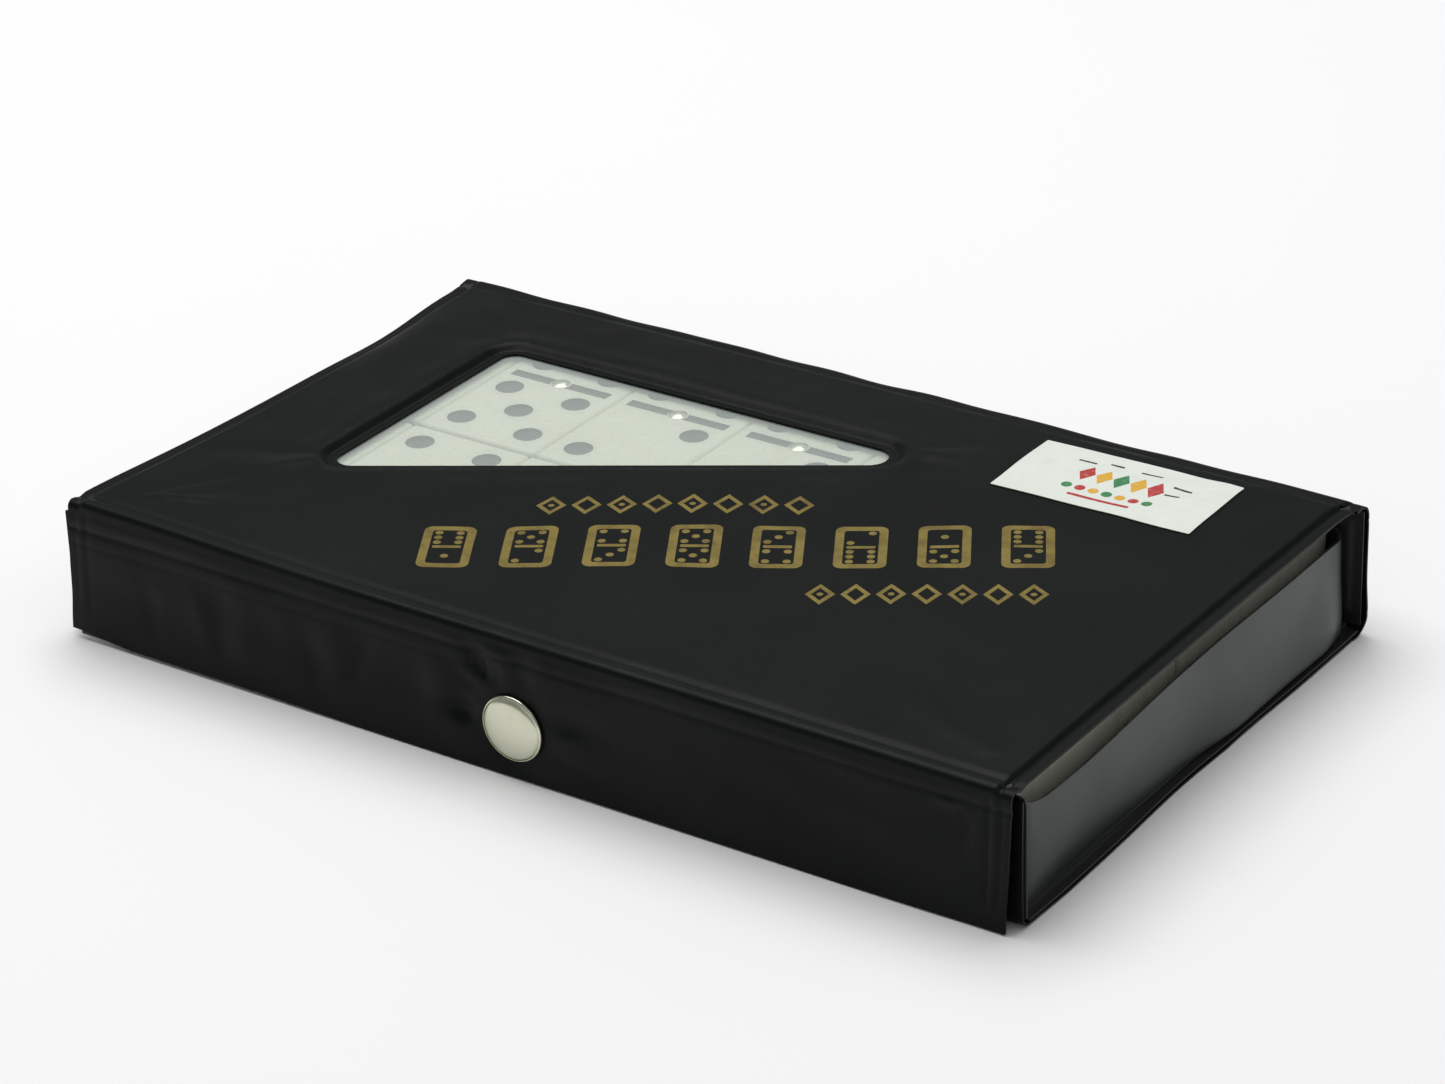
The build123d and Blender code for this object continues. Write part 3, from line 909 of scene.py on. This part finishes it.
def bottom_lining_face(x, y):
    end = right - np.abs(x)
    sunk = 0.35 * (1 - smooth((end - 1.4) / 1.2))
    return x - rim_in(x, y, seam_y - y), y, bottom_lining_high[2] - sunk


lining_piece(
    "lining_bottom", "bottom_lining", "base",
    steps(-right, right, 3.0), steps(bottom_lining_low[1], bottom_lining_high[1], 2.4),
    bottom_lining_face, lining, (0, 0, 1),
)


def wall_lining_face(x, z):
    end = right - np.abs(x)
    sunk = 0.55 * (1 - smooth((end - 1.4) / 1.2)) + 0.5 * (1 - smooth((wall_top - z) / 1.6))
    return x, wall_lining_high[1] - sunk, z


lining_piece(
    "lining_front_wall", "front_wall_lining", "base",
    steps(-right, right, 3.0), steps(wall_lining_low[2], wall_lining_high[2], 1.5, 0.5, 3.2),
    wall_lining_face, lining, (0, 1, 0),
)


# ---- stiffening card under the lid's skin ----

card_low, card_high = node_box("lid_card")


def lid_card_face(x, y):
    """The card bends a little with the skin above it."""
    return x - crept_in(x, y, seam_y - y, 0 * x), y, lid_top(x, y) - skin - 0.04


card = cut_sheet(
    "card_lid", np.linspace(card_low[0], card_high[0], 90), np.linspace(card_low[1], card_high[1], 56),
    lid_card_face, card_shown, (0, 0, 1), [card_board], hole=window_outline(weld_inset + 0.3),
)
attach(card, "lid")
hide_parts("lid_card")


# ---- window film ----

def film_top(x, y):
    """The film hangs from the weld and lies close over the tiles' pins."""
    gap = window_gap(x, y)
    inner = smooth(-gap / 8)
    sag = 0.22 * inner
    wave = (0.05 * ripple(x, y, 22, 71) + 0.03 * np.sin((y - 3.9) / 1.4) * bell(y - 3.9, 4)) * inner
    return x, y, top - film_drop - sag + wave


film = cut_sheet(
    "film",
    np.arange(film_low[0] - 1, film_high[0] + 1, 1.0), np.arange(film_low[1] - 1, film_high[1] + 1, 1.0),
    film_top, film_thickness, (0, 0, 1), [window_film], edge=window_outline(weld_inset - 0.3),
)
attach(film, "lid")
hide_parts("window_film")


# ---- tray ----

tray_corner = 4.0
tray_length = tray_high[1] - tray_low[1]
tray_floor_top = end_wall_low[2]
straight = tray_length - 2 * tray_corner
quarter = tray_corner * math.pi / 2


def end_wall_place(side):
    def place(run, share):
        """A soft end wall that turns both corners, bows, and bulges over the bottom at the back."""
        first = np.clip(run / tray_corner, 0, math.pi / 2)
        last = np.clip((run - quarter - straight) / tray_corner, 0, math.pi / 2)
        along = np.clip(run - quarter, 0, straight)
        x = tray_high[0] - tray_corner * (1 - np.sin(first)) - tray_corner * (1 - np.cos(last))
        y = tray_low[1] + tray_corner * (1 - np.cos(first)) + along + tray_corner * np.sin(last)
        to_corner = np.minimum(run, quarter * 2 + straight - run)
        uneven = ripple(run, 0 * run, 60, 81 + side)
        rise = 2.4 * bell(to_corner - 2.0, 4.8) + 0.25 * uneven
        rise = np.maximum(rise, 1.5 * smooth((y - tray_low[1] - 14) / 34) + 0.2 * uneven)
        height = end_wall_high[2] - 0.5 - tray_floor_top + rise
        z = tray_floor_top - 0.3 + share * (height + 0.3)
        away = smooth(to_corner / 14)
        bulge = 1.7 * smooth((y + 2) / 20) * bell(share - 0.12, 0.34)
        bulge = bulge - 0.5 * bell(y + 20, 26) * bell(share, 0.5)
        bow = 0.5 * np.sin(math.pi * np.clip(share, 0, 1)) + 0.15 * ripple(run, 20 * share, 30, 84)
        return side * (x + away * (bulge + bow)), y, z
    return place


run_steps = np.concatenate([
    np.linspace(0, quarter, 9),
    quarter + np.linspace(1.5, straight - 1.5, 66),
    quarter + straight + np.linspace(0, quarter, 9),
])
for side, name in ((-1, "left"), (1, "right")):
    wall = grid_sheet(
        f"tray_end_{name}", run_steps, np.linspace(0, 1, 18), end_wall_place(side),
        tray_sheet, (side, 0, 0), [tray_vinyl],
    )
    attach(wall, "base")
    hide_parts(f"tray_wall_{name}")

long_end = tray_high[0] - tray_corner
for direction, name, face_y in ((-1, "front", tray_low[1]), (1, "back", tray_high[1])):

    def long_wall_place(x, z):
        """A long tray wall; it dips towards the lower end walls."""
        dip = (long_wall_high[2] - end_wall_high[2] - 2.0) * smooth(1 - (long_end - np.abs(x)) / 9)
        share = (z - tray_floor_top) / (long_wall_high[2] - tray_floor_top)
        lean = 0.08 * ripple(x, z, 40, 85 + direction)
        return x, face_y - direction * np.abs(lean), z - dip * share

    wall = grid_sheet(
        f"tray_long_{name}", np.linspace(-long_end, long_end, 90),
        np.linspace(tray_floor_top - 0.2, long_wall_high[2], 14),
        long_wall_place, tray_long_sheet, (0, direction, 0), [tray_vinyl],
    )
    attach(wall, "base")
    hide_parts(f"tray_wall_{name}")


# ---- paper label ----

label_x = (label_low[0] + label_high[0]) / 2
label_y = (label_low[1] + label_high[1]) / 2
label_turn = math.radians(1.1)
turn_cos = math.cos(label_turn)
turn_sin = math.sin(label_turn)
label_box = label_high - label_low
label_width = (label_box[0] * turn_cos - label_box[1] * turn_sin) / math.cos(2 * label_turn)
label_depth = (label_box[1] * turn_cos - label_box[0] * turn_sin) / math.cos(2 * label_turn)


def label_face(x, y):
    across = (x - label_x) * turn_cos + (y - label_y) * turn_sin
    along = (y - label_y) * turn_cos - (x - label_x) * turn_sin
    end = np.minimum(label_width / 2 - np.abs(across), label_depth / 2 - np.abs(along))
    curl = 0.10 * (1 - smooth(end / 2.5))
    return x, y, lid_top(x, y) + label_gap + curl


def at_label(shape):
    turned = shape @ np.array([(turn_cos, turn_sin), (-turn_sin, turn_cos)])
    return divided(turned + np.array([label_x, label_y]), 1.2)


motif = []
for number, material_number in enumerate((1, 2, 3, 2, 1)):
    x = -6.4 + number * 3.2
    motif.append(([at_label(lozenge(x, 1.6, 3.0, 5.4))], material_number))
for number, material_number in enumerate((3, 1, 2, 3, 2, 1, 3)):
    motif.append(([at_label(circle(-7.5 + number * 2.5, -3.6, 0.95, 14))], material_number))
dashes = []
for x, y, length in ((-8.5, 5.6, 3.4), (-3.4, 6.6, 2.6), (3.2, 6.4, 4.0), (10.2, 4.0, 3.4), (9.6, 1.2, 2.8)):
    dashes.append(at_label(rounded_box(x, y, length, 0.55, 0.1, 1)))
motif.append((dashes, 4))
motif.append(([at_label(rounded_box(-0.2, -6.3, 11.5, 0.8, 0.2, 1))], 1))
label_edge = at_label(rounded_box(0, 0, label_width, label_depth, 0.25, 3))
label = cut_sheet(
    "label",
    np.arange(label_low[0] - 1, label_high[0] + 1, 1.1), np.arange(label_low[1] - 1, label_high[1] + 1, 1.1),
    label_face, label_thickness, (0, 0, 1), [label_paper, ink_red, ink_amber, ink_green, ink_dark],
    prints=motif, edge=label_edge,
)
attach(label, "lid")
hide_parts("paper_label")


# ---- press stud cap: a dome with a rolled rim ----

cap_height = 1.6
crown_foot = 0.55
rim_round = 0.42
crown = [(cap_radius * 0.93 * math.sin(a), crown_foot + (cap_height - crown_foot) * math.cos(a) ** 0.9)
         for a in np.linspace(0.03, math.pi / 2 - 0.02, 16)]
rolled = [(cap_radius - rim_round + rim_round * math.cos(a), rim_round + rim_round * math.sin(a))
          for a in np.linspace(math.pi * 0.45, -math.pi / 2, 10)]
under_cap = [(cap_radius - 1.4, 0.02)]
cap = lathe(
    "snap_cap_shell", crown + rolled + under_cap, (0, front, snap_z), (0, -1, 0), [snap_metal],
)
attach(cap, "flap")
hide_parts("snap_cap")


# ================= tiles and other pieces kept from the CAD =================

tile_face = (11.4, 23.6)
painted_depths = (0.04, 0.55)
pin_land = 1.3


def painted(node):
    """Whether each polygon of a tile lies in its sunk pips and bar."""
    mesh = frame["nodes"][node].data
    low, high = node_box(node)
    middle = (low + high) / 2
    count = len(mesh.polygons)
    centres = np.zeros(count * 3, np.float32)
    mesh.polygons.foreach_get("center", centres)
    centres = centres.reshape(-1, 3) / MM - (middle[0], middle[1], high[2])
    hole = np.hypot(centres[:, 0], centres[:, 1]) < pin_land
    in_face = (np.abs(centres[:, 0]) < tile_face[0]) & (np.abs(centres[:, 1]) < tile_face[1])
    sunk = (centres[:, 2] < -painted_depths[0]) & (centres[:, 2] > -painted_depths[1])
    return in_face & sunk & ~hole


for node, source in sorted(frame["nodes"].items()):
    if not node.startswith("domino_"):
        continue
    mesh = source.data.copy()
    mesh.name = node.replace("domino", "tile")
    mesh.materials.clear()
    mesh.materials.append(tile_ivory)
    mesh.materials.append(pip_paint)
    mesh.polygons.foreach_set("material_index", painted(node).astype(np.int32))
    tile = bpy.data.objects.new(mesh.name, mesh)
    bpy.context.scene.collection.objects.link(tile)
    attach(tile, source["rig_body"])
    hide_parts(node)

# Pieces that keep their CAD shape: pins, the inner parts of the press stud, the tray's floor and the cards.
finishes = {"spinners": pin_metal, "snap": snap_metal, "tray": tray_vinyl}
for node, source in frame["nodes"].items():
    if source.hide_render:
        continue
    chosen = next((m for start, m in finishes.items() if node.startswith(start)), card_board)
    source.data.materials.clear()
    source.data.materials.append(chosen)


# ================= studio =================

def area_light(name, place, target, size, power, colour=(1, 1, 1)):
    light = bpy.data.lights.new(name, "AREA")
    light.shape = "RECTANGLE"
    light.size, light.size_y = size
    light.energy = power
    light.color = colour
    lamp = bpy.data.objects.new(name, light)
    lamp.location = place
    lamp.rotation_euler = (Vector(target) - Vector(place)).to_track_quat("-Z", "Y").to_euler()
    bpy.context.scene.collection.objects.link(lamp)


finish = Finish("studio_floor", (0.95, 0.95, 0.95), 0.9, specular=0.1)
finish.tint(finish.ramp(finish.noise(3, 3), 0.3, 0.7), (0.94, 0.94, 0.94))
floor_reach = 4000.0
floor_z = -0.02
floor = new_object(
    "studio_floor",
    [(sx * floor_reach, sy * floor_reach, floor_z) for sx, sy in ((-1, -1), (1, -1), (1, 1), (-1, 1))],
    [(0, 1, 2, 3)], [finish.material],
)

area_light("key", (-0.35, 0.15, 1.3), (0, 0, 0), (1.5, 1.2), 17)
area_light("front_fill", (0.5, -1.3, 0.9), (0, 0, 0), (1.2, 0.7), 0.8)
area_light("right_fill", (0.85, 0.15, 1.0), (0.05, 0, 0.01), (0.7, 0.5), 0.75)

world = bpy.data.worlds.new("studio")
world.use_nodes = True
world.node_tree.nodes["Background"].inputs["Color"].default_value = (1, 1, 1, 1)
world.node_tree.nodes["Background"].inputs["Strength"].default_value = 0.29
bpy.context.scene.world = world
bpy.context.scene.view_settings.view_transform = "Standard"


# ================= camera =================

azimuth, elevation, roll = math.radians(35.24), math.radians(27.05), math.radians(-2.07)
camera_data = bpy.data.cameras.new("camera")
camera_data.sensor_fit = "HORIZONTAL"
camera_data.sensor_width = 36.0
camera_data.lens = 111.88
camera_data.clip_start = 0.01
camera_data.clip_end = 100.0
camera = bpy.data.objects.new("camera", camera_data)
bpy.context.scene.collection.objects.link(camera)
away = Vector((
    math.sin(azimuth) * math.cos(elevation), -math.cos(azimuth) * math.cos(elevation), math.sin(elevation),
))
across = Vector((0, 0, 1)).cross(away).normalized()
upward = away.cross(across)
camera_x = across * math.cos(roll) + upward * math.sin(roll)
camera_y = upward * math.cos(roll) - across * math.sin(roll)
camera_place = (0.38459, -0.54071, 0.35651)
camera.matrix_world = Matrix.Translation(camera_place) @ Matrix(
    (camera_x, camera_y, away)
).transposed().to_4x4()
bpy.context.scene.camera = camera
